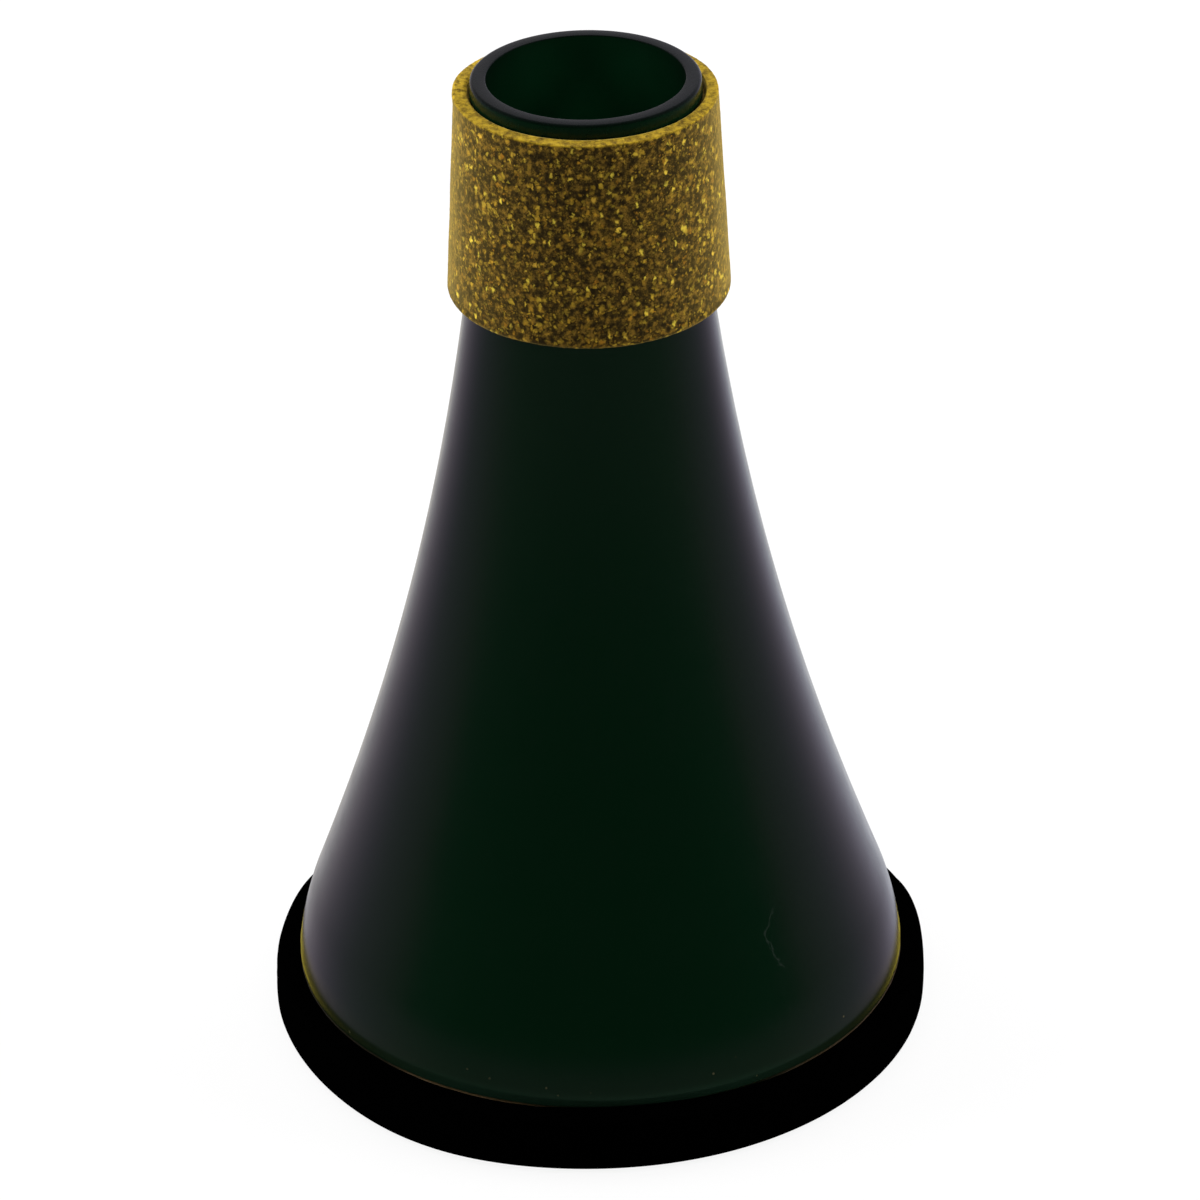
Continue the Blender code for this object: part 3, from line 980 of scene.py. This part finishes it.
def build_floor():
    """A pale floor that keeps a faint shadow of the mute."""
    look, tree = stage_look("floor_look")
    seen = node(tree, "ShaderNodeLightPath").outputs["Is Camera Ray"]
    grey = fit_range(tree, seen, 0.0, 1.0, FLOOR_BOUNCE, FLOOR_SEEN)
    tone = node(tree, "ShaderNodeCombineColor", {0: grey, 1: grey, 2: grey}).outputs[0]
    paint = node(tree, "ShaderNodeBsdfDiffuse", {"Color": tone})
    glow = node(tree, "ShaderNodeEmission", {"Color": (1, 1, 1, 1), "Strength": 1.0})
    share = product(tree, seen, FLOOR_GLOW)
    both = node(tree, "ShaderNodeMixShader", {0: share, 1: paint.outputs[0], 2: glow.outputs[0]})
    node(tree, "ShaderNodeOutputMaterial", {"Surface": both.outputs[0]})
    shape = bmesh.new()
    bmesh.ops.create_grid(shape, x_segments=1, y_segments=1, size=FLOOR_SIZE)
    bmesh.ops.translate(shape, verts=shape.verts, vec=(0.0, 0.0, -FLOOR_BELOW))
    floor = stage_piece("floor", shape, look)
    floor.visible_glossy = False


def build_scrim():
    """A graded scrim that only the gloss shows: dark by the camera, clear behind the mute."""
    look, tree = stage_look("scrim_look")
    place = node(tree, "ShaderNodeTexCoord").outputs["Object"]
    x, y, z = axes(tree, vector_calc(tree, "NORMALIZE", {0: place}))
    behind = fit_range(tree, y, -1.0, 1.0)
    sunk = fit_range(tree, z, -0.08, -0.15, 0.0, 1.0, True)
    above, below = ramp(tree, behind, SCRIM_ABOVE), ramp(tree, behind, SCRIM_BELOW)
    colour = blend_colours(tree, sunk, above, below)
    aside = fit_range(tree, x, -0.3, 0.3, 0.0, 1.0, True)
    tint = blend_colours(tree, aside, (*LEFT_TINT, 1), (*RIGHT_TINT, 1))
    far = fit_range(tree, behind, 0.75, 0.90, 0.0, 1.0, True)
    tint = blend_colours(tree, far, (1, 1, 1, 1), tint)
    colour = blend_colours(tree, 1.0, colour, tint, "MULTIPLY")
    high = fit_range(tree, z, 0.15, 0.42, 1.0, SCRIM_OVERHEAD, True)
    shade = node(tree, "ShaderNodeCombineColor", {0: high, 1: high, 2: high}).outputs[0]
    colour = blend_colours(tree, 1.0, colour, shade, "MULTIPLY")
    clear = node(tree, "ShaderNodeBsdfTransparent", {"Color": colour})
    node(tree, "ShaderNodeOutputMaterial", {"Surface": clear.outputs[0]})
    shape = bmesh.new()
    bmesh.ops.create_icosphere(shape, subdivisions=4, radius=SCRIM_RADIUS)
    scrim = stage_piece("scrim", shape, look)
    for kind in ("camera", "diffuse", "transmission", "volume_scatter", "shadow"):
        setattr(scrim, f"visible_{kind}", False)


def build_world():
    """A white surround for what is seen and mirrored, and a plain level of light for the rest."""
    world = bpy.data.worlds.new("studio")
    bpy.context.scene.world = world
    world.use_nodes = True
    tree = world.node_tree
    tree.nodes.clear()
    path = node(tree, "ShaderNodeLightPath").outputs
    seen = calc(tree, "MAXIMUM", path["Is Camera Ray"], path["Is Glossy Ray"])
    seen = calc(tree, "MAXIMUM", seen, path["Is Transmission Ray"])
    level = fit_range(tree, seen, 0.0, 1.0, AMBIENT, 1.0)
    surround = node(tree, "ShaderNodeBackground", {"Color": (1, 1, 1, 1), "Strength": level})
    node(tree, "ShaderNodeOutputWorld", {"Surface": surround.outputs[0]})


def build_lamps():
    """Broad soft lamps above and all round, kept out of the gloss."""
    for name, source, level, softness in LAMPS:
        data = bpy.data.lights.new(name, "SUN")
        data.energy = level * pi
        data.angle = radians(softness)
        lamp = bpy.data.objects.new(name, data)
        lamp.rotation_mode = "QUATERNION"
        lamp.rotation_quaternion = Vector(source).to_track_quat("Z", "Y")
        lamp.visible_glossy = False
        bpy.context.scene.collection.objects.link(lamp)


def main():
    """Build the mute's looks and its studio on the frame."""
    bpy.context.scene.view_settings.view_transform = "Standard"
    build_camera()
    build_shell()
    build_cork()
    build_pad()
    build_film()
    build_tube()
    build_ring()
    dress_plate()
    build_floor()
    build_scrim()
    build_world()
    build_lamps()


main()
